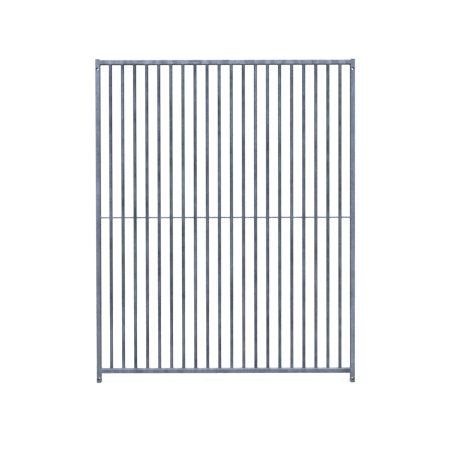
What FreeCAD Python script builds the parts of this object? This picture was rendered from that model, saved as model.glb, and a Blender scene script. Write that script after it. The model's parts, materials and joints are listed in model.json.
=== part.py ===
import FreeCAD, Part
import os
from FreeCAD import Vector

# A welded steel bar barrier panel: two square posts, two square rails between them,
# a row of upright round bars, and a thin rod across the bars.
# X runs along the panel, Y runs through it with the front at -Y, and Z is up.
# The origin is on the ground under the middle of the panel. Sizes are in millimetres.

# Overall sizes
PANEL_WIDTH = 1500.0
FRAME_HEIGHT = 1815.0  # from the underside of the bottom rail to the top of the top rail
FOOT_LENGTH = 50.0  # post tube below the bottom rail

# Square tube of the posts and rails
TUBE_SIZE = 25.0
TUBE_WALL = 2.0
TUBE_OUTER_RADIUS = 2.0
TUBE_INNER_RADIUS = 1.0

# Holes in the square tubes
BOLT_HOLE_RADIUS = 8.0
LOWER_BOLT_HEIGHT = 22.0  # above the ground
BOLT_SPACING = 1795.0  # from the lower hole to the upper hole
VENT_RADIUS = 7.0  # from the post into each rail, so that zinc and air can flow
DRAIN_RADIUS = 3.5
DRAIN_X = 12.0
DRAIN_ABOVE_UNDERSIDE = 6.0

# Upright bars and the rod across them
BAR_COUNT = 20
BAR_PITCH = 70.0
BAR_RADIUS = 9.5
BAR_WALL = 1.5
BAR_REACH = 5.0  # how far a bar's end goes into its rail
BAR_HOLE_CLEARANCE = 0.25
ROD_RADIUS = 4.0
ROD_HEIGHT = 958.0
ROD_HOLE_CLEARANCE = 0.25

# End caps
CAP_HEAD = 4.0
CAP_EDGE_RADIUS = 1.5
PLUG_DEPTH = 10.0
PLUG_CORE = 17.0
PLUG_WALL = 1.6
RIB_SIZE = 20.8
RIB_THICKNESS = 1.2
RIB_COUNT = 3

# Welds
BAR_WELD_HEIGHT = 2.5  # up the bar
BAR_WELD_LAP = 1.1  # down over the rail's rounded edges, in front of and behind the bar
BAR_WELD_SPREAD = 2.3  # out from the bar, where the weld laps the rounded edges
SEAM_WIDTH = 6.0
SEAM_CROWN = 0.9
FILLET_LEG = 4.0
FILLET_LENGTH = 21.0
ROD_WELD_LENGTH = 3.0
ROD_WELD_SPREAD = 2.5
TACK_LENGTH = 1.5
TACK_SPREAD = 1.6

# Places worked out from the sizes above
HALF_TUBE = TUBE_SIZE / 2
POST_X = PANEL_WIDTH / 2 - HALF_TUBE
POST_INNER_X = PANEL_WIDTH / 2 - TUBE_SIZE
POST_BOTTOM = CAP_HEAD
UNDERSIDE = POST_BOTTOM + FOOT_LENGTH
POST_TOP = UNDERSIDE + FRAME_HEIGHT
BOTTOM_RAIL_Z = UNDERSIDE + HALF_TUBE
TOP_RAIL_Z = POST_TOP - HALF_TUBE
RAIL_LENGTH = 2 * POST_INNER_X
BOLT_HEIGHTS = (LOWER_BOLT_HEIGHT, LOWER_BOLT_HEIGHT + BOLT_SPACING)
BAR_XS = [(i - (BAR_COUNT - 1) / 2) * BAR_PITCH for i in range(BAR_COUNT)]

X_AXIS = Vector(1, 0, 0)
Y_AXIS = Vector(0, 1, 0)
LEFT, RIGHT = -1, 1
FRONT, BACK = -1, 1
DOWN, UP = -1, 1


def square_bar(size, radius, length):
    """A square bar from the origin along +Z, with its long edges rounded."""
    bar = Part.makeBox(size, size, length, Vector(-size / 2, -size / 2, 0))
    long_edges = [edge for edge in bar.Edges if abs(edge.tangentAt(0).z) > 0.5]
    return bar.makeFillet(radius, long_edges)


def square_tube(length):
    """The frame's square tube, from the origin along +Z."""
    inside = square_bar(TUBE_SIZE - 2 * TUBE_WALL, TUBE_INNER_RADIUS, length)
    return square_bar(TUBE_SIZE, TUBE_OUTER_RADIUS, length).cut(inside)


def place_post(shape, side):
    """Stands a shape of a post's length where the left or right post goes."""
    return shape.translated(Vector(side * POST_X, 0, POST_BOTTOM))


def place_rail(shape, height):
    """Lays a shape of a rail's length between the posts, with its centre at a height."""
    lying = shape.rotated(Vector(0, 0, 0), Y_AXIS, 90)
    return lying.translated(Vector(-POST_INNER_X, 0, height))


def post_outline(side):
    """The outside of a post as a solid bar, for trimming welds."""
    bar = square_bar(TUBE_SIZE, TUBE_OUTER_RADIUS, POST_TOP - POST_BOTTOM)
    return place_post(bar, side)


def rail_outline(height):
    """The outside of a rail as a solid bar, for trimming welds."""
    return place_rail(square_bar(TUBE_SIZE, TUBE_OUTER_RADIUS, RAIL_LENGTH), height)


def make_post(side):
    """A post with a bolt hole through it at each end, and a vent hole behind each rail."""
    post = place_post(square_tube(POST_TOP - POST_BOTTOM), side)
    for height in BOLT_HEIGHTS:
        front = Vector(side * POST_X, -TUBE_SIZE, height)
        post = post.cut(Part.makeCylinder(BOLT_HOLE_RADIUS, 2 * TUBE_SIZE, front, Y_AXIS))
    for height in (BOTTOM_RAIL_Z, TOP_RAIL_Z):
        middle = Vector(side * POST_X, 0, height)
        inward = Vector(-side, 0, 0)
        post = post.cut(Part.makeCylinder(VENT_RADIUS, TUBE_SIZE, middle, inward))
    return post


def make_rail(height, bar_side):
    """A rail with a row of holes for the bars' ends, in its wall on the bars' side."""
    rail = place_rail(square_tube(RAIL_LENGTH), height)
    radius = BAR_RADIUS + BAR_HOLE_CLEARANCE
    towards_bars = Vector(0, 0, bar_side)
    holes = [
        Part.makeCylinder(radius, TUBE_SIZE, Vector(x, 0, height), towards_bars)
        for x in BAR_XS
    ]
    return rail.cut(Part.makeCompound(holes))


def make_bottom_rail():
    """The bottom rail, with its small drain hole low in the front wall."""
    hole_centre = Vector(DRAIN_X, -TUBE_SIZE, UNDERSIDE + DRAIN_ABOVE_UNDERSIDE)
    drain = Part.makeCylinder(DRAIN_RADIUS, TUBE_SIZE, hole_centre, Y_AXIS)
    return make_rail(BOTTOM_RAIL_Z, UP).cut(drain)


def make_bar(x):
    """An upright tube that reaches into both rails, cross-drilled for the rod."""
    bottom = BOTTOM_RAIL_Z + HALF_TUBE - BAR_REACH
    length = (TOP_RAIL_Z - HALF_TUBE + BAR_REACH) - bottom
    foot = Vector(x, 0, bottom)
    outside = Part.makeCylinder(BAR_RADIUS, length, foot)
    inside = Part.makeCylinder(BAR_RADIUS - BAR_WALL, length, foot)
    beside = Vector(x - TUBE_SIZE, 0, ROD_HEIGHT)
    rod_hole = Part.makeCylinder(ROD_RADIUS + ROD_HOLE_CLEARANCE, 2 * TUBE_SIZE, beside, X_AXIS)
    return outside.cut(inside).cut(rod_hole)


def make_rod():
    """The rod, between the inner faces of the two posts."""
    end = Vector(-POST_INNER_X, 0, ROD_HEIGHT)
    return Part.makeCylinder(ROD_RADIUS, RAIL_LENGTH, end, X_AXIS)


def make_cap():
    """An end cap for the top of a tube: its head above z = 0, its ribbed plug below."""
    head = square_bar(TUBE_SIZE, TUBE_OUTER_RADIUS, CAP_HEAD)
    rim = [edge for edge in head.Edges if edge.BoundBox.ZMin > CAP_HEAD / 2]
    cap = head.makeFillet(CAP_EDGE_RADIUS, rim)
    core = square_bar(PLUG_CORE, TUBE_INNER_RADIUS, PLUG_DEPTH)
    cap = cap.fuse(core.translated(Vector(0, 0, -PLUG_DEPTH)))
    rib = square_bar(RIB_SIZE, TUBE_INNER_RADIUS, RIB_THICKNESS)
    rib_pitch = PLUG_DEPTH / RIB_COUNT
    for i in range(RIB_COUNT):
        rib_height = -PLUG_DEPTH + (i + 0.5) * rib_pitch - RIB_THICKNESS / 2
        cap = cap.fuse(rib.translated(Vector(0, 0, rib_height)))
    hollow = square_bar(PLUG_CORE - 2 * PLUG_WALL, TUBE_INNER_RADIUS, PLUG_DEPTH)
    cap = cap.cut(hollow.translated(Vector(0, 0, -PLUG_DEPTH)))
    return cap.removeSplitter()


def make_top_cap(side):
    """The end cap in the top of a post."""
    return make_cap().translated(Vector(side * POST_X, 0, POST_TOP))


def make_foot_cap(side):
    """The end cap in the foot of a post, which stands on the ground."""
    upside_down = make_cap().rotated(Vector(0, 0, 0), X_AXIS, 180)
    return upside_down.translated(Vector(side * POST_X, 0, POST_BOTTOM))


def seam_weld(side, height, face):
    """The weld that fills the groove between a post's rounded edge and a rail's end."""
    radius = (SEAM_WIDTH ** 2 / 4 + SEAM_CROWN ** 2) / (2 * SEAM_CROWN)
    length = TUBE_SIZE - TUBE_OUTER_RADIUS
    x = side * (POST_INNER_X + TUBE_OUTER_RADIUS / 2)
    y = face * (HALF_TUBE + SEAM_CROWN - radius)
    bead = Part.makeCylinder(radius, length, Vector(x, y, height - length / 2))
    return bead.cut(post_outline(side)).cut(rail_outline(height))


def corner_fillet(side, height, direction):
    """The fillet weld in the corner between a post and a rail's upper or lower face."""
    face = height + direction * HALF_TUBE
    corner_x = side * POST_INNER_X
    toe_x = side * (POST_INNER_X - FILLET_LEG)
    root_x = side * (POST_INNER_X + TUBE_OUTER_RADIUS)
    crest = face + direction * FILLET_LEG
    root = face - direction * TUBE_OUTER_RADIUS
    outline = [(toe_x, face), (corner_x, crest), (root_x, crest), (root_x, root), (toe_x, root)]
    corners = [Vector(x, -FILLET_LENGTH / 2, z) for x, z in outline]
    section = Part.Face(Part.makePolygon(corners + corners[:1]))
    fillet = section.extrude(Vector(0, FILLET_LENGTH, 0))
    return fillet.cut(post_outline(side)).cut(rail_outline(height))


def make_corner_welds():
    """Every weld between posts and rails. The top rail's upper face is dressed flush."""
    fillet_faces = [(BOTTOM_RAIL_Z, UP), (BOTTOM_RAIL_Z, DOWN), (TOP_RAIL_Z, DOWN)]
    welds = []
    for side in (LEFT, RIGHT):
        for height in (BOTTOM_RAIL_Z, TOP_RAIL_Z):
            welds += [seam_weld(side, height, face) for face in (FRONT, BACK)]
        welds += [corner_fillet(side, height, direction) for height, direction in fillet_faces]
    return Part.makeCompound(welds)


def make_bar_welds(height, direction):
    """One ring weld around each bar's end, shaped to the rail's rounded edges."""
    crest = height + direction * (HALF_TUBE + BAR_WELD_HEIGHT)
    depth = BAR_WELD_HEIGHT + BAR_WELD_LAP
    towards_rail = Vector(0, 0, -direction)
    rail = rail_outline(height)
    welds = []
    for x in BAR_XS:
        start = Vector(x, 0, crest)
        cone = Part.makeCone(BAR_RADIUS, BAR_RADIUS + BAR_WELD_SPREAD, depth, start, towards_rail)
        bar = Part.makeCylinder(BAR_RADIUS, depth, start, towards_rail)
        welds.append(cone.cut(bar).cut(rail))
    return Part.makeCompound(welds)


def rod_ring(face_x, outward, length, spread, depth):
    """A ring weld around the rod, on a face at face_x, reaching in by depth behind it."""
    start = Vector(face_x + outward * length, 0, ROD_HEIGHT)
    inward = Vector(-outward, 0, 0)
    reach = length + depth
    outer_radius = ROD_RADIUS + spread * reach / length
    cone = Part.makeCone(ROD_RADIUS, outer_radius, reach, start, inward)
    return cone.cut(Part.makeCylinder(ROD_RADIUS, reach, start, inward))


def make_rod_welds():
    """The rod's end welds on the posts, and a tack on each side of every bar."""
    welds = []
    for side in (LEFT, RIGHT):
        welds.append(rod_ring(side * POST_INNER_X, -side, ROD_WELD_LENGTH, ROD_WELD_SPREAD, 0))
    for x in BAR_XS:
        bar = Part.makeCylinder(BAR_RADIUS, 4 * TUBE_SIZE, Vector(x, 0, ROD_HEIGHT - 2 * TUBE_SIZE))
        for side in (LEFT, RIGHT):
            face_x = x + side * BAR_RADIUS
            tack = rod_ring(face_x, side, TACK_LENGTH, TACK_SPREAD, TACK_LENGTH)
            welds.append(tack.cut(bar))
    return Part.makeCompound(welds)


def make_nodes():
    """Every sub-part, by name."""
    nodes = {
        "left_post": make_post(LEFT),
        "right_post": make_post(RIGHT),
        "top_rail": make_rail(TOP_RAIL_Z, DOWN),
        "bottom_rail": make_bottom_rail(),
        "cross_rod": make_rod(),
        "top_cap_left": make_top_cap(LEFT),
        "top_cap_right": make_top_cap(RIGHT),
        "foot_cap_left": make_foot_cap(LEFT),
        "foot_cap_right": make_foot_cap(RIGHT),
        "corner_welds": make_corner_welds(),
        "top_bar_welds": make_bar_welds(TOP_RAIL_Z, DOWN),
        "bottom_bar_welds": make_bar_welds(BOTTOM_RAIL_Z, UP),
        "rod_welds": make_rod_welds(),
    }
    for number, x in enumerate(BAR_XS, start=1):
        nodes[f"bar_{number:02d}"] = make_bar(x)
    return nodes


os.makedirs("parts", exist_ok=True)
for name, shape in make_nodes().items():
    shape.exportStep(f"parts/{name}.step")
    print(f"{name:18} solids {len(shape.Solids):3}  valid {shape.isValid()}  volume {shape.Volume:.0f}")
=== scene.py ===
import json
import math
import random

import bmesh
import bpy
from mathutils import Matrix, Vector, noise


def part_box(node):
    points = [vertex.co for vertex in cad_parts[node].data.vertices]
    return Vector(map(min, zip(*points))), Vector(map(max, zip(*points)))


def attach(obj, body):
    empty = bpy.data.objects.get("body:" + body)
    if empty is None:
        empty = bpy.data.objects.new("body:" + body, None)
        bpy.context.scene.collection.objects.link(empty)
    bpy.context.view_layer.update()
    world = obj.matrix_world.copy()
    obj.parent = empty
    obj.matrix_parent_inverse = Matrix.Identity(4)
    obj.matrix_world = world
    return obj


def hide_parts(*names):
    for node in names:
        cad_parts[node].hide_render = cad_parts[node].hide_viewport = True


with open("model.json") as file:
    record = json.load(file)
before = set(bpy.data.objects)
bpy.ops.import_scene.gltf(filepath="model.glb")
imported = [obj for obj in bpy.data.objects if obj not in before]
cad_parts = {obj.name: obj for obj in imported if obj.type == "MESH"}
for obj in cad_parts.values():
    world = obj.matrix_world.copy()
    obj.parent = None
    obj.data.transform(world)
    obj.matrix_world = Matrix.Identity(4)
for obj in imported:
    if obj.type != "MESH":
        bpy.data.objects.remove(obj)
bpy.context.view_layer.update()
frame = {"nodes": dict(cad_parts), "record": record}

# A hot-dip-galvanised bar panel. X runs along it, its front faces -Y, and Z is up. Metres.
MM = 0.001
LEFT, RIGHT = -1, 1
FRONT, BACK = -1, 1
DOWN, UP = -1, 1
BAR_NAMES = [name for name in frame["nodes"] if name.startswith("bar_")]

# Places read from the frame
post_low, post_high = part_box("right_post")
bottom_low, bottom_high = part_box("bottom_rail")
top_low, top_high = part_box("top_rail")
rod_low, rod_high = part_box("cross_rod")
bar_low, bar_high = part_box(BAR_NAMES[0])

POST_X = (post_low.x + post_high.x) / 2
POST_INNER_X = post_low.x
HALF_TUBE = (post_high.x - post_low.x) / 2
BOTTOM_RAIL_Z = (bottom_low.z + bottom_high.z) / 2
TOP_RAIL_Z = (top_low.z + top_high.z) / 2
ROD_Z = (rod_low.z + rod_high.z) / 2
ROD_RADIUS = (rod_high.z - rod_low.z) / 2
BAR_RADIUS = (bar_high.x - bar_low.x) / 2
BAR_XS = [sum(corner.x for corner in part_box(name)) / 2 for name in BAR_NAMES]
bolt_mount = next(m for m in frame["record"]["mounts"] if m["name"] == "joining_bolts_front")
BOLT_RADIUS = bolt_mount["dims"]["hole_r_mm"] * MM
BOLT_HALF_SPAN = bolt_mount["dims"]["spacing_y_mm"] * MM / 2
BOLT_HEIGHTS = [bolt_mount["pos_m"][2] + way * BOLT_HALF_SPAN for way in (DOWN, UP)]
TUBE_EDGE_RADIUS = 2 * MM  # the rounded long edges of the square tubes

# How far each weld bead spreads over the face it lies on, and how high it climbs
BAR_WELD_SPREAD, BAR_WELD_HEIGHT = 1.5 * MM, 2.3 * MM
ROD_WELD_SPREAD, ROD_WELD_HEIGHT = 2.6 * MM, 3.0 * MM
ROD_TACK_SPREAD, ROD_TACK_HEIGHT = 1.5 * MM, 1.5 * MM

# The stage, and the brightness of each part of the studio round it
FLOOR_RADIUS, FLOOR_FADE_START, FLOOR_FADE_END = 6.0, 0.8, 2.8
DOME_RADIUS = 40.0
CEILING, ZENITH, HORIZON = 2.1, 0.4, 0.20
FRONT_WALL, GROUND, BACK_CORNERS = 0.35, 0.26, 0.30


# ---------------------------------------------------------------- materials

class Nodes:
    """Short names for building a material's or a world's node tree."""

    def __init__(self, tree):
        self.tree = tree
        self.coords = self.add("ShaderNodeTexCoord")
        self.place = self.coords.outputs["Object"]

    def add(self, kind, **settings):
        """A new node with its properties set."""
        node = self.tree.nodes.new(kind)
        for key, value in settings.items():
            setattr(node, key, value)
        return node

    def feed(self, socket, value):
        """Gives an input socket a number, a colour, a vector or another node's output."""
        if isinstance(value, bpy.types.NodeSocket):
            self.tree.links.new(value, socket)
        elif isinstance(value, tuple) and len(value) < len(socket.default_value):
            socket.default_value = (*value, 1.0)
        else:
            socket.default_value = value

    def math(self, operation, first, second=0.0):
        """One arithmetic step between outputs or numbers."""
        node = self.add("ShaderNodeMath", operation=operation)
        self.feed(node.inputs[0], first)
        self.feed(node.inputs[1], second)
        return node.outputs["Value"]

    def remap(self, value, low, high, to_low=0.0, to_high=1.0):
        """The range low..high of a value, spread smoothly over to_low..to_high."""
        node = self.add("ShaderNodeMapRange", interpolation_type="SMOOTHSTEP")
        for socket, number in zip(node.inputs, (value, low, high, to_low, to_high)):
            self.feed(socket, number)
        return node.outputs["Result"]

    def axis(self, vector, letter):
        """The X, Y or Z part of a vector."""
        node = self.add("ShaderNodeSeparateXYZ")
        self.feed(node.inputs[0], vector)
        return node.outputs[letter]

    def scaled(self, scale):
        """The place on the part, in metres, multiplied by a scale for each axis."""
        node = self.add("ShaderNodeVectorMath", operation="MULTIPLY")
        self.feed(node.inputs[0], self.place)
        self.feed(node.inputs[1], scale)
        return node.outputs["Vector"]

    def noise(self, scale, detail=3.0, roughness=0.55):
        """Noise from 0 to 1, with a number of features per metre along each axis."""
        node = self.add("ShaderNodeTexNoise")
        self.feed(node.inputs["Vector"], self.scaled(scale))
        self.feed(node.inputs["Scale"], 1.0)
        self.feed(node.inputs["Detail"], detail)
        self.feed(node.inputs["Roughness"], roughness)
        return node.outputs["Fac"]

    def ragged_x(self, scale, detail):
        """The place along the panel, moved by up to 25 mm either way for a mark's ragged edge."""
        wander = self.math("SUBTRACT", self.noise(scale, detail=detail), 0.5)
        shift = self.math("MULTIPLY", wander, 50 * MM)
        return self.math("ADD", self.axis(self.place, "X"), shift)

    def crystals(self, per_metre):
        """Frost-like zinc crystals: a random level for each one, and its feathery grain."""
        border_bend = 0.45
        feathers_per_metre = (1500.0, 180.0, 180.0)
        frost = self.add("ShaderNodeTexNoise")
        self.feed(frost.inputs["Vector"], self.scaled((per_metre * 2.0,) * 3))
        self.feed(frost.inputs["Scale"], 1.0)
        bent = self.add("ShaderNodeVectorMath", operation="MULTIPLY_ADD")
        self.feed(bent.inputs[0], frost.outputs["Color"])
        self.feed(bent.inputs[1], (border_bend,) * 3)
        self.feed(bent.inputs[2], self.scaled((per_metre,) * 3))
        cells = self.add("ShaderNodeTexVoronoi")
        self.feed(cells.inputs["Vector"], bent.outputs["Vector"])
        self.feed(cells.inputs["Scale"], 1.0)
        parts = self.add("ShaderNodeSeparateColor")
        self.feed(parts.inputs["Color"], cells.outputs["Color"])
        turned = self.add("ShaderNodeVectorRotate", rotation_type="AXIS_ANGLE")
        self.feed(turned.inputs["Vector"], self.place)
        self.feed(turned.inputs["Axis"], (1.0, 1.0, 1.0))
        full_turn = self.math("MULTIPLY", parts.outputs["Green"], 2 * math.pi)
        self.feed(turned.inputs["Angle"], full_turn)
        stretched = self.add("ShaderNodeVectorMath", operation="MULTIPLY")
        self.feed(stretched.inputs[0], turned.outputs["Vector"])
        self.feed(stretched.inputs[1], feathers_per_metre)
        feather = self.add("ShaderNodeTexNoise")
        self.feed(feather.inputs["Vector"], stretched.outputs["Vector"])
        self.feed(feather.inputs["Scale"], 1.0)
        return parts.outputs["Red"], feather.outputs["Fac"]

    def total(self, *shares):
        """The sum of (value, weight) pairs."""
        result = 0.0
        for value, weight in shares:
            result = self.math("ADD", result, self.math("MULTIPLY", value, weight))
        return result

    def blend(self, amount, first, second):
        """A colour part of the way from the first colour to the second."""
        node = self.add("ShaderNodeMix", data_type="RGBA")
        self.feed(node.inputs[0], amount)
        self.feed(node.inputs[6], first)
        self.feed(node.inputs[7], second)
        return node.outputs[2]

    def shade(self, colour, level):
        """A colour multiplied by a level."""
        node = self.add("ShaderNodeVectorMath", operation="SCALE")
        self.feed(node.inputs["Vector"], colour)
        self.feed(node.inputs["Scale"], level)
        return node.outputs["Vector"]

    def bump(self, height, depth, under=None):
        """A bump from a 0 to 1 height, depth metres deep, over an earlier bump."""
        node = self.add("ShaderNodeBump")
        self.feed(node.inputs["Height"], height)
        self.feed(node.inputs["Distance"], depth)
        if under is not None:
            self.feed(node.inputs["Normal"], under)
        return node.outputs["Normal"]


def new_material(name):
    """A new material, its node helper and its shader."""
    material = bpy.data.materials.new(name)
    material.use_nodes = True
    return material, Nodes(material.node_tree), material.node_tree.nodes["Principled BSDF"]


# Whitish zinc for bloom and pale marks, and also for a painted highlight
PALE_ZINC_AND_HIGHLIGHT = (0.53, 0.61, 0.73)


def tinted(colour, factor):
    """The same hue, lighter or darker."""
    return tuple(channel * factor for channel in colour)


def zinc(name, colour, streaks, uneven=0.22, bloom=0.3, pale_marks_and_highlights=None, dark_marks=None):
    """Hot-dip galvanising in a blue-grey colour: patches, drained streaks, spangle and bloom.

    streaks gives the streaks per metre along each axis, uneven how far the tone strays over a
    long distance, and bloom the share of whitish patches. The last two arguments are
    functions that give where the zinc is paler or darker; a paler mark can be a painted highlight.
    """
    material, n, shader = new_material(name)
    dark_zinc = tinted(colour, 0.45)

    # What varies over the surface, each from 0 to 1
    patches = n.remap(n.noise((13, 13, 13), detail=5.0), 0.36, 0.64)
    piece_tone = n.remap(n.noise((31, 5, 3.5), detail=2.0), 0.38, 0.62)
    streak = n.remap(n.noise(streaks, detail=4.0, roughness=0.6), 0.34, 0.66)
    crystal, feather = n.crystals(130.0)
    feather = n.remap(feather, 0.35, 0.65)
    fine = n.noise((850, 850, 850), detail=4.0, roughness=0.7)
    bloom_start = 0.68 - 0.2 * bloom
    white_rust = n.noise((26, 70, 70), detail=6.0, roughness=0.65)
    white_rust = n.remap(white_rust, bloom_start, bloom_start + 0.14)
    specks = n.remap(n.noise((260, 260, 260), detail=2.0), 0.70, 0.76)

    # Colour: long changes of tone, then streaks and crystals, then marks, painted highlights and
    # specks
    tone = n.total((patches, 0.45), (piece_tone, 0.55))
    base = n.blend(tone, tinted(colour, 1 - uneven), tinted(colour, 1 + uneven))
    grain = n.total((streak, 0.16), (crystal, 0.22), (feather, 0.12))
    base = n.shade(base, n.math("ADD", grain, 0.75))
    base = n.blend(n.math("MULTIPLY", white_rust, 0.5), base, PALE_ZINC_AND_HIGHLIGHT)
    # Paler zinc at the marks; on the bottom rail this is a painted highlight along its upper edges
    if pale_marks_and_highlights:
        base = n.blend(n.math("MULTIPLY", pale_marks_and_highlights(n), 0.7), base, PALE_ZINC_AND_HIGHLIGHT)
    if dark_marks:
        base = n.blend(n.math("MULTIPLY", dark_marks(n), 0.6), base, dark_zinc)
    base = n.blend(n.math("MULTIPLY", specks, 0.5), base, dark_zinc)
    base = n.blend(n.remap(fine, 0.60, 0.75, 0.0, 0.22), base, tinted(colour, 0.6))
    n.feed(shader.inputs["Base Color"], base)

    # Dullness and relief follow the same crystals, bloom and specks
    dullness = n.total((crystal, 0.16), (feather, 0.05), (white_rust, 0.18), (fine, 0.08),
                       (specks, 0.1))
    n.feed(shader.inputs["Roughness"], n.math("ADD", dullness, 0.36))
    runs = n.bump(n.noise((60, 60, 60), detail=2.0), 0.45 * MM)
    facets = n.bump(n.total((crystal, 0.7), (feather, 0.3)), 0.035 * MM, runs)
    n.feed(shader.inputs["Normal"], n.bump(fine, 0.05 * MM, facets))
    n.feed(shader.inputs["Metallic"], 0.6)
    return material


def above_bars(n):
    """Pale patches on the top rail where the heat of each bar's weld reached its face."""
    half_pitch = (BAR_XS[1] - BAR_XS[0]) / 2
    from_gap_middle = n.math("PINGPONG", n.ragged_x((40, 40, 90), detail=3.0), half_pitch)
    stripe = n.remap(from_gap_middle, half_pitch - 18 * MM, half_pitch - 5 * MM)
    strength = n.remap(n.noise((9, 60, 60), detail=3.0), 0.35, 0.6)
    return n.math("MULTIPLY", stripe, strength)


def right_end(n):
    """A dark patch on the bottom rail beside the right-hand post."""
    along = n.ragged_x((60, 60, 60), detail=4.0)
    return n.remap(along, POST_INNER_X - 55 * MM, POST_INNER_X - 25 * MM)


def painted_edge_highlight(n):
    """A painted highlight: pale zinc along the bottom rail's two upper edges, where light from
    above catches them.
    """
    height, depth = n.axis(n.place, "Z"), n.math("ABSOLUTE", n.axis(n.place, "Y"))
    near_top = n.remap(height, bottom_high.z - 1.6 * MM, bottom_high.z - 0.6 * MM)
    near_side = n.remap(depth, HALF_TUBE - 5 * MM, HALF_TUBE - 3.5 * MM)
    return n.math("MULTIPLY", near_top, near_side)


def darker_post_patches(n):
    """Darker zinc low on the left-hand post, high on the right-hand one, and on both posts from the
    bottom rail down.
    """
    height, along = n.axis(n.place, "Z"), n.axis(n.place, "X")
    upper = n.remap(height, ROD_Z - 150 * MM, ROD_Z + 150 * MM)
    right_hand = n.math("GREATER_THAN", along, 0.0)
    apart = n.math("ABSOLUTE", n.math("SUBTRACT", upper, right_hand))
    darker_half = n.math("SUBTRACT", 1.0, apart)
    darker_feet = n.remap(height, bottom_high.z, bottom_low.z, 0.0, 0.38)
    return n.total((darker_half, 0.42), (darker_feet, 1.0))


def black_plastic():
    """Moulded polyethylene: near black, finely grained, scuffed and dusty."""
    material, n, shader = new_material("cap_plastic")
    grain = n.noise((1400, 1400, 1400), detail=3.0)
    dust = n.remap(n.noise((150, 150, 150), detail=5.0, roughness=0.7), 0.48, 0.72)
    base = n.blend(n.math("MULTIPLY", dust, 0.35), (0.015, 0.016, 0.018), (0.085, 0.088, 0.092))
    n.feed(shader.inputs["Base Color"], base)
    dullness = n.total((dust, 0.2), (grain, 0.12))
    n.feed(shader.inputs["Roughness"], n.math("ADD", dullness, 0.4))
    n.feed(shader.inputs["Normal"], n.bump(grain, 0.05 * MM))
    n.feed(shader.inputs["Specular IOR Level"], 0.3)
    return material


def set_material(piece, material):
    """Gives a piece this material alone."""
    piece.data.materials.clear()
    piece.data.materials.append(material)


# ---------------------------------------------------------------- mesh pieces

class Mesh:
    """Collects closed shells, then makes one piece of them."""

    def __init__(self):
        self.points = []
        self.faces = []

    def add_shell(self, rows, wrap_rows):
        """A shell of rows of points, each row a closed loop. The rows either wrap or are capped."""
        start = len(self.points)
        width = len(rows[0])
        for row in rows:
            self.points.extend(row)
        last = len(rows) if wrap_rows else len(rows) - 1
        for i in range(last):
            here = start + i * width
            there = start + ((i + 1) % len(rows)) * width
            for j in range(width):
                k = (j + 1) % width
                self.faces.append((here + j, here + k, there + k, there + j))
        if not wrap_rows:
            end = start + (len(rows) - 1) * width
            self.faces.append(tuple(start + j for j in reversed(range(width))))
            self.faces.append(tuple(end + j for j in range(width)))

    def make(self, name, material):
        """One smooth-shaded piece that rides on the panel."""
        data = bpy.data.meshes.new(name)
        data.from_pydata(self.points, [], self.faces)
        data.validate()
        tidy_normals(data)
        data.shade_smooth()
        piece = bpy.data.objects.new(name, data)
        bpy.context.collection.objects.link(piece)
        set_material(piece, material)
        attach(piece, "root")
        return piece


def tidy_normals(data):
    """Turns every closed shell's faces outwards."""
    shells = bmesh.new()
    shells.from_mesh(data)
    bmesh.ops.recalc_face_normals(shells, faces=shells.faces)
    shells.to_mesh(data)
    shells.free()


def lumps(place, size):
    """Smooth noise from -1 to 1 at a place, with features of about that size."""
    return noise.noise(Vector(place) / size)


def ring_weld(mesh, origin, along, inner_radius, spread, height, surface, ripples, seed):
    """A weld bead round a bar or rod. along points away from the face that the bead lies on.

    surface(u, v) gives how far that face lies along the axis at an offset from its centre. Each
    section of the bead is a slightly bulging slope from its crest, on the bar, to its toe.
    """
    steps, profile_steps = ripples * 6, 6
    ripple_depth, wander_depth, bulge_depth = 0.10, 0.22, 0.154
    side = Vector((0, 1, 0))
    across = along.cross(side)
    sink = 0.35 * MM
    rows = []
    for i in range(steps):
        angle = 2 * math.pi * i / steps
        u, v = math.cos(angle), math.sin(angle)
        swing = lumps((seed * 3.7, u * 1.3, v * 1.3), 1.0)
        ripple = ripple_depth * abs(math.sin(ripples * angle / 2)) + wander_depth * swing
        outer = inner_radius + spread * (1 + ripple)
        crest = height * (1 + 0.6 * ripple)
        toe = surface(outer * u, outer * v)
        row = [(inner_radius - sink, crest - sink)]
        for j in range(profile_steps + 1):
            t = j / profile_steps
            bulge = bulge_depth * min(spread, height) * math.sin(math.pi * t)
            row.append((inner_radius + (outer - inner_radius) * t + bulge,
                        crest + (toe - crest) * t + bulge))
        row.append((outer - sink, surface((outer - sink) * u, (outer - sink) * v) - sink))
        row.append((inner_radius - sink, surface(inner_radius * u, inner_radius * v) - sink))
        rows.append([
            origin + across * (radius * u) + side * (radius * v) + along * level
            for radius, level in row
        ])
    mesh.add_shell(rows, wrap_rows=True)


def tube_face(u, v):
    """How far a square tube's face lies below its flat at an offset v from its middle."""
    past = abs(v) - (HALF_TUBE - TUBE_EDGE_RADIUS)
    if past <= 0:
        return 0.0
    past = min(past, TUBE_EDGE_RADIUS * 0.98)
    return math.sqrt(TUBE_EDGE_RADIUS ** 2 - past ** 2) - TUBE_EDGE_RADIUS


def bar_side(u, v):
    """How far a round bar's side lies below its crest at an offset v from its middle."""
    return math.sqrt(BAR_RADIUS ** 2 - v ** 2) - BAR_RADIUS


def flat_face(u, v):
    """A flat face is level all over."""
    return 0.0


def bar_welds(name, rail_face_z, direction, material):
    """A ring weld at one end of every bar."""
    mesh = Mesh()
    for number, x in enumerate(BAR_XS):
        ring_weld(mesh, Vector((x, 0, rail_face_z)), Vector((0, 0, direction)), BAR_RADIUS,
                  BAR_WELD_SPREAD, BAR_WELD_HEIGHT, tube_face, ripples=16,
                  seed=number + 40 * direction)
    return mesh.make(name, material)


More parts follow.
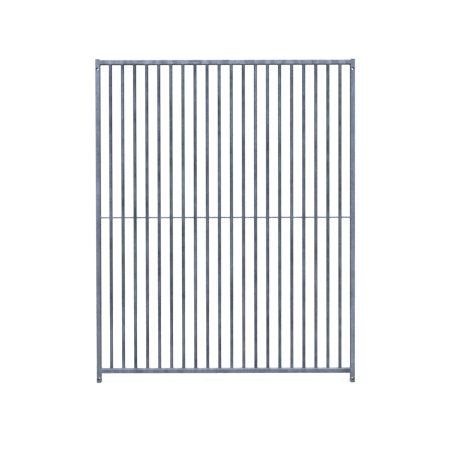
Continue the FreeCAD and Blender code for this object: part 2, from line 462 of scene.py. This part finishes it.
def rod_welds(material):
    """The rod's ring welds on the posts, and a tack on each side of every bar."""
    mesh = Mesh()
    for side in (LEFT, RIGHT):
        ring_weld(mesh, Vector((side * POST_INNER_X, 0, ROD_Z)), Vector((-side, 0, 0)),
                  ROD_RADIUS, ROD_WELD_SPREAD, ROD_WELD_HEIGHT, flat_face, ripples=9,
                  seed=90 + side)
    for number, x in enumerate(BAR_XS):
        for side in (LEFT, RIGHT):
            ring_weld(mesh, Vector((x + side * BAR_RADIUS, 0, ROD_Z)), Vector((side, 0, 0)),
                      ROD_RADIUS, ROD_TACK_SPREAD, ROD_TACK_HEIGHT, bar_side, ripples=6,
                      seed=200 + number + 30 * side)
    return mesh.make("rod_weld_beads", material)


def straight_bead(mesh, start, end, out, width, crown, sink, seed):
    """A rippled weld bead along a line, humped towards out, with rounded ends."""
    along = end - start
    length = along.length
    along.normalize()
    across = along.cross(out)
    step_length, ripple_pitch, columns = 0.35 * MM, 2.1 * MM, 10
    wander_length, ripple_lag = 6 * MM, 1.2 * MM
    wander_depth, ripple_depth, lump_depth = 0.12, 0.16, 0.10
    blunt_end = 0.04
    steps = max(8, round(length / step_length))
    rows = []
    for i in range(steps + 1):
        t = i / steps
        taper = math.sqrt(max(0.0, 1 - abs(2 * t - 1) ** 6)) * (1 - blunt_end) + blunt_end
        wander = 1 + wander_depth * lumps((seed, t * length / wander_length, 0), 1.0)
        row = []
        for j in range(columns + 1):
            s = 2 * j / columns - 1
            lag = ripple_lag * s * s  # the ripples trail back towards the bead's sides
            phase = (t * length + lag) / ripple_pitch
            lump = lumps((seed + 9, phase * 0.7, s), 1.0)
            ripple = ripple_depth * (phase % 1.0) + lump_depth * lump
            hump = crown * taper * (1 - s * s) * (1 + ripple)
            row.append(start + along * (t * length) + across * (s * width / 2 * taper * wander)
                       + out * hump)
        row += [row[-1] - out * sink, row[0] - out * sink]
        rows.append(row)
    mesh.add_shell(rows, wrap_rows=False)


def corner_welds(material):
    """Beads where the rails meet the posts: a seam front and back, and inside-corner fillets."""
    mesh = Mesh()
    seam_width, seam_crown, seam_sink = 6.0 * MM, 0.9 * MM, 2.0 * MM
    fillet_leg, fillet_crown, fillet_sink = 4.0 * MM, 0.7 * MM, 2.5 * MM
    seam_half_length, fillet_half_length = 10.8 * MM, HALF_TUBE - 1.2 * MM
    fillets = [(BOTTOM_RAIL_Z, UP), (BOTTOM_RAIL_Z, DOWN), (TOP_RAIL_Z, DOWN)]
    seed = 0
    for side in (LEFT, RIGHT):
        for height in (BOTTOM_RAIL_Z, TOP_RAIL_Z):
            for face in (FRONT, BACK):
                seed += 1
                x = side * (POST_INNER_X + TUBE_EDGE_RADIUS / 2)
                foot = Vector((x, face * HALF_TUBE, height - seam_half_length))
                head = Vector((x, face * HALF_TUBE, height + seam_half_length))
                straight_bead(mesh, foot, head, Vector((0, face, 0)), seam_width, seam_crown,
                              seam_sink, seed)
        for height, way in fillets:
            seed += 1
            out = Vector((-side, 0, way)).normalized()
            middle = Vector((side * (POST_INNER_X - fillet_leg / 2), 0,
                             height + way * (HALF_TUBE + fillet_leg / 2)))
            reach = Vector((0, fillet_half_length, 0))
            straight_bead(mesh, middle - reach, middle + reach, out, fillet_leg * math.sqrt(2),
                          fillet_crown, fillet_sink, seed)
    return mesh.make("corner_weld_beads", material)


def rounded_lump(mesh, centre, axis, half_length, side, half_width, out, height, fatten):
    """A run or drop of zinc: an egg along axis, half sunk in the steel.

    fatten swells the end that axis points to, or the other end if it is below zero.
    """
    rows = []
    steps, around = 12, 12
    for i in range(1, steps):
        t = math.pi * i / steps
        reach = -math.cos(t)
        size = math.sin(t) * (1 + fatten * reach)
        row = []
        for j in range(around):
            a = 2 * math.pi * j / around
            row.append(centre + axis * (reach * half_length)
                       + side * (math.cos(a) * half_width * size)
                       + out * (math.sin(a) * height * size))
        rows.append(row)
    mesh.add_shell(rows, wrap_rows=False)


def zinc_runs(material):
    """Runs and drops where the molten zinc drained down and set: few, small and drawn out."""
    rng = random.Random(7)
    mesh = Mesh()
    down, along, across = Vector((0, 0, -1)), Vector((1, 0, 0)), Vector((0, 1, 0))
    furthest_x = POST_INNER_X - 20 * MM
    for x in BAR_XS:
        for _ in range(2):
            angle = rng.uniform(0, 2 * math.pi)
            out = Vector((math.cos(angle), math.sin(angle), 0))
            side = Vector((-out.y, out.x, 0))
            z = rng.uniform(bottom_high.z + 15 * MM, bottom_high.z + 300 * MM)
            rounded_lump(mesh, Vector((x, 0, z)) + out * BAR_RADIUS, down,
                         rng.uniform(6, 18) * MM, side, rng.uniform(0.6, 1.1) * MM, out,
                         rng.uniform(0.15, 0.3) * MM, 0.45)
    for rail_z in (BOTTOM_RAIL_Z, TOP_RAIL_Z):
        for face in (FRONT, BACK):
            out = Vector((0, face, 0))
            for _ in range(9):
                x = rng.uniform(-furthest_x, furthest_x)
                z = rail_z - rng.uniform(3, 7) * MM
                rounded_lump(mesh, Vector((x, face * HALF_TUBE, z)), down,
                             rng.uniform(2.0, 5.0) * MM, along, rng.uniform(0.5, 1.1) * MM, out,
                             rng.uniform(0.12, 0.25) * MM, 0.5)
        for _ in range(8):
            x = rng.uniform(-furthest_x, furthest_x)
            y = rng.uniform(-0.7, 0.7) * HALF_TUBE
            rounded_lump(mesh, Vector((x, y, rail_z - HALF_TUBE)), down,
                         rng.uniform(0.8, 1.8) * MM, along, rng.uniform(0.8, 1.6) * MM, across,
                         rng.uniform(0.8, 1.4) * MM, -0.4)
    return mesh.make("zinc_runs", material)


def hole_lips(material):
    """The thin raised lip of zinc round each bolt hole, front and back."""
    mesh = Mesh()
    around, profile_steps = 48, 6
    lip_width, lip_height, lip_sink = 1.1 * MM, 0.28 * MM, 0.4 * MM
    for side in (LEFT, RIGHT):
        for height in BOLT_HEIGHTS:
            for face in (FRONT, BACK):
                centre = Vector((side * POST_X, face * HALF_TUBE, height))
                rows = []
                for i in range(around):
                    a = 2 * math.pi * i / around
                    ray = Vector((math.cos(a), 0, math.sin(a)))
                    swell = 1 + 0.35 * lumps((centre.x * 9, a, centre.z), 0.8)
                    row = []
                    for j in range(profile_steps + 1):
                        t = j / profile_steps
                        lift = lip_height * swell * math.sin(math.pi * t)
                        row.append(centre + ray * (BOLT_RADIUS + lip_width * t)
                                   + Vector((0, face * lift, 0)))
                    inset = Vector((0, -face * lip_sink, 0))
                    row += [row[-1] + inset, row[0] + inset]
                    rows.append(row)
                mesh.add_shell(rows, wrap_rows=True)
    return mesh.make("bolt_hole_lips", material)


# ---------------------------------------------------------------- stage

def make_floor():
    """A pale floor that fades out into the white backdrop."""
    bpy.ops.mesh.primitive_circle_add(vertices=96, radius=FLOOR_RADIUS, fill_type="NGON")
    floor = bpy.context.object
    floor.name = "floor"
    material, n, shader = new_material("floor")
    n.feed(shader.inputs["Base Color"], (0.86, 0.86, 0.86))
    n.feed(shader.inputs["Roughness"], 0.9)
    n.feed(shader.inputs["Emission Color"], (1.0, 1.0, 1.0))
    n.feed(shader.inputs["Emission Strength"], 0.25)
    from_middle = n.add("ShaderNodeVectorMath", operation="LENGTH")
    n.feed(from_middle.inputs[0], n.place)
    n.feed(shader.inputs["Alpha"], n.remap(from_middle.outputs["Value"], FLOOR_FADE_START,
                                           FLOOR_FADE_END, 1.0, 0.0))
    set_material(floor, material)
    floor.visible_glossy = False
    floor.visible_diffuse = False


def make_backdrop():
    """A white dome round everything, seen by the camera only."""
    bpy.ops.mesh.primitive_uv_sphere_add(segments=48, ring_count=24, radius=DOME_RADIUS)
    dome = bpy.context.object
    dome.name = "backdrop"
    material, n, shader = new_material("backdrop")
    n.feed(shader.inputs["Base Color"], (0.0, 0.0, 0.0))
    n.feed(shader.inputs["Specular IOR Level"], 0.0)
    n.feed(shader.inputs["Emission Color"], (1.0, 1.0, 1.0))
    n.feed(shader.inputs["Emission Strength"], 1.05)
    set_material(dome, material)
    for ray in ("diffuse", "glossy", "transmission", "shadow", "volume_scatter"):
        setattr(dome, f"visible_{ray}", False)


def make_world():
    """Soft light by direction: bright above, even in front, dark at the sides, pale ground."""
    world = bpy.data.worlds.new("studio")
    bpy.context.scene.world = world
    world.use_nodes = True
    n = Nodes(world.node_tree)
    direction = n.coords.outputs["Generated"]
    upward, backward = n.axis(direction, "Z"), n.axis(direction, "Y")
    sideways = n.math("ABSOLUTE", n.axis(direction, "X"))

    # A bright ceiling over a dimmer horizon, dimmest behind, with dark boards at both sides
    ceiling = n.remap(upward, 0.15, 0.95, 0.0, CEILING)
    horizon = n.math("MULTIPLY", n.remap(upward, -0.45, 0.15, 0.02, HORIZON),
                     n.remap(backward, -0.1, 0.5, 1.0, 0.10))
    boards = n.remap(sideways, 0.12, 0.75, 1.05, 0.08)
    room = n.math("MULTIPLY", n.math("ADD", ceiling, horizon), boards)

    # What the boards don't shade: the wall in front, straight up, the floor and the back corners
    front_wall = n.remap(backward, -0.6, -1.0, 0.0, FRONT_WALL)
    zenith = n.remap(upward, 0.72, 0.95, 0.0, ZENITH)
    ground = n.math("MULTIPLY", n.remap(backward, 0.3, -0.2),
                    n.remap(upward, 0.05, -0.25, 0.0, GROUND))
    corners = n.math("MULTIPLY", n.remap(backward, 0.1, 0.6),
                     n.remap(sideways, 0.35, 0.7, 0.0, BACK_CORNERS))
    corners = n.math("MULTIPLY", corners, n.remap(upward, -0.25, 0.2, 1.0, 0.25))

    strength = n.total((room, 1.0), (front_wall, 1.0), (ground, 1.0), (corners, 1.0),
                       (zenith, 1.0))
    warm_below = n.blend(n.remap(upward, -0.3, 0.1), (1.24, 1.0, 0.88), (1.0, 1.0, 1.0))
    background = world.node_tree.nodes["Background"]
    n.feed(background.inputs["Color"], warm_below)
    n.feed(background.inputs["Strength"], strength)


def make_softbox(name, place, aim, width, height, power):
    """A rectangular area light that points at a place. Sizes are in metres, power in watts."""
    data = bpy.data.lights.new(name, "AREA")
    data.shape = "RECTANGLE"
    data.size, data.size_y = width, height
    data.energy = power
    light = bpy.data.objects.new(name, data)
    light.location = place
    light.rotation_euler = (Vector(aim) - Vector(place)).to_track_quat("-Z", "Y").to_euler()
    bpy.context.collection.objects.link(light)


def make_camera():
    """A nearly level view of the front, from a little above the middle of the panel."""
    distance, eye_height, to_the_right = 2.85, 1.09, 0.0032
    pitch, roll = math.radians(0.51), math.radians(-0.12)
    data = bpy.data.cameras.new("camera")
    data.sensor_width = 36.0
    data.lens = 39.08
    data.shift_y = -0.0596
    camera = bpy.data.objects.new("camera", data)
    turn = Matrix.Rotation(math.pi / 2 - pitch, 4, "X") @ Matrix.Rotation(roll, 4, "Z")
    camera.matrix_world = Matrix.Translation((to_the_right, -distance, eye_height)) @ turn
    bpy.context.collection.objects.link(camera)
    bpy.context.scene.camera = camera


# ---------------------------------------------------------------- the panel

def dress_panel():
    """Gives every CAD piece its material, and puts detailed welds in place of the plain ones."""
    steel_blue = (0.345, 0.455, 0.635)
    post_zinc = zinc("post_zinc", tinted(steel_blue, 0.96), (120, 120, 5),
                     dark_marks=darker_post_patches)
    top_zinc = zinc("top_rail_zinc", tinted(steel_blue, 0.84), (26, 150, 150), uneven=0.42,
                    bloom=0.7, pale_marks_and_highlights=above_bars)
    # The pale upper edges of the bottom rail are a painted highlight
    bottom_zinc = zinc("bottom_rail_zinc", tinted(steel_blue, 0.77), (5, 120, 120),
                       pale_marks_and_highlights=painted_edge_highlight, dark_marks=right_end)
    bar_zinc = zinc("bar_zinc", tinted(steel_blue, 0.64), (160, 160, 6), uneven=0.42)
    rod_zinc = zinc("rod_zinc", tinted(steel_blue, 0.60), (8, 200, 200))
    weld_zinc = zinc("weld_zinc", tinted(steel_blue, 1.05), (220, 220, 220), bloom=0.6)
    plastic = black_plastic()
    for name, node in frame["nodes"].items():
        if name.endswith("_post"):
            set_material(node, post_zinc)
        elif name == "top_rail":
            set_material(node, top_zinc)
        elif name == "bottom_rail":
            set_material(node, bottom_zinc)
        elif "cap" in name:
            set_material(node, plastic)
        elif name == "cross_rod":
            set_material(node, rod_zinc)
        else:  # the bars, and the plain welds that are replaced below
            set_material(node, bar_zinc)
    welds = {
        "top_bar_welds": bar_welds("top_bar_weld_beads", top_low.z, DOWN, weld_zinc),
        "bottom_bar_welds": bar_welds("bottom_bar_weld_beads", bottom_high.z, UP, weld_zinc),
        "rod_welds": rod_welds(weld_zinc),
        "corner_welds": corner_welds(weld_zinc),
    }
    for node, piece in welds.items():
        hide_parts(node)
    for piece in (zinc_runs(bottom_zinc), hole_lips(post_zinc)):
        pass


dress_panel()
make_floor()
make_backdrop()
make_world()
make_softbox("overhead", place=(-0.4, -1.6, 4.8), aim=(0, 0, 0.9), width=4.0, height=3.0, power=16)
make_camera()
bpy.context.scene.view_settings.view_transform = "Standard"
